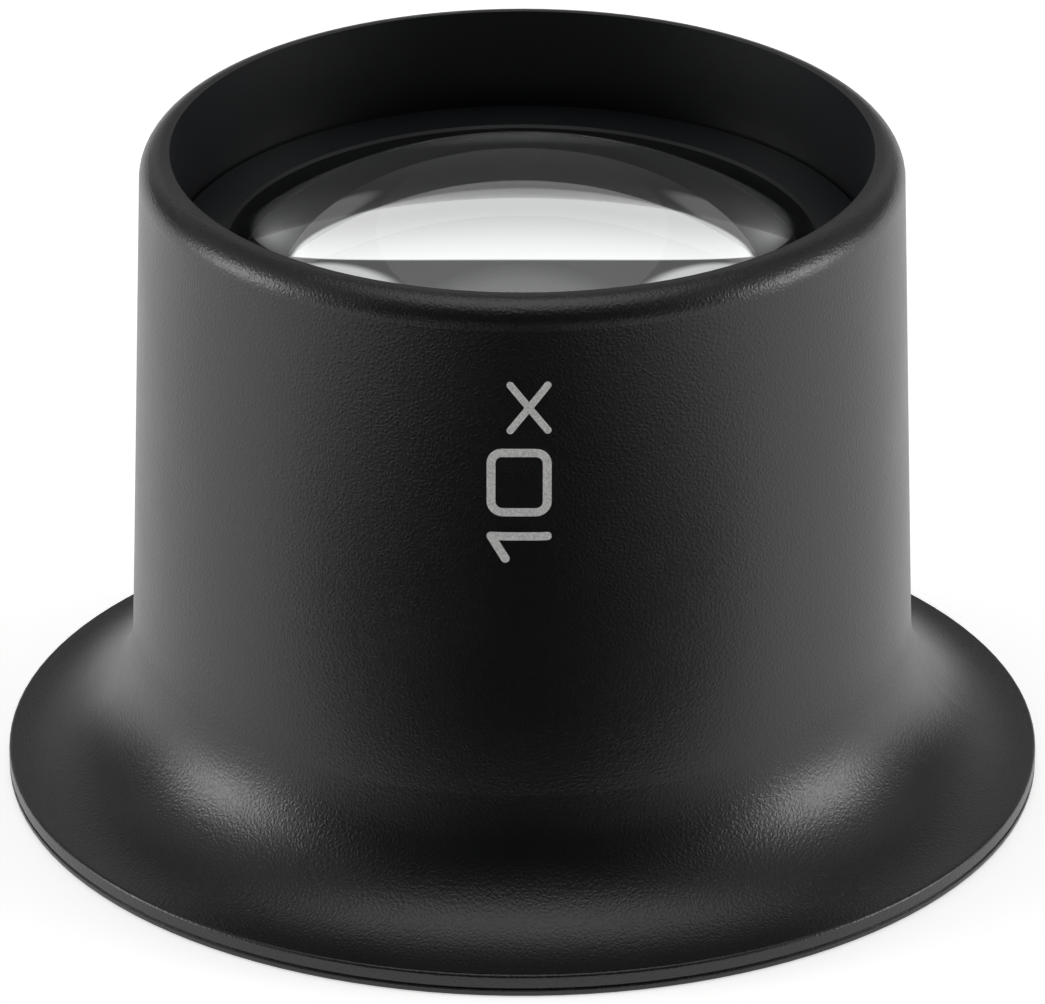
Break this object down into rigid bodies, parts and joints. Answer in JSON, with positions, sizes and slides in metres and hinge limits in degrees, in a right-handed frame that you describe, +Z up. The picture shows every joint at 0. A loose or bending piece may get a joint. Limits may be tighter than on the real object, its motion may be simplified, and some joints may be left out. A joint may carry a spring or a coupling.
{
  "type": "watchmaker's eye loupe",
  "caption": "Watchmaker's loupe: a flared black eyecup with a thick dome lens, flat behind, that a retaining ring holds down on a spacer in its recessed top.",
  "frame": {"origin": "centre of the flat face of the eyecup's flange, the face that the loupe stands on", "axes": "+Z up the optical axis, from the flange to the rim; +X to the right and -Y towards the viewer of the picture"},
  "size_m": [0.038, 0.038, 0.0245],
  "materials": {
    "housing_plastic": "fine leather grain, matte black",
    "ring_plastic": "smooth matte black",
    "lens_glass": "polished, clear",
    "spacer_plastic": "smooth matte black"
  },
  "bodies": {
    "root": {"eyecup_housing": "housing_plastic", "retaining_ring": "ring_plastic", "lens": "lens_glass", "spacer_ring": "spacer_plastic"}
  },
  "joints": []
}
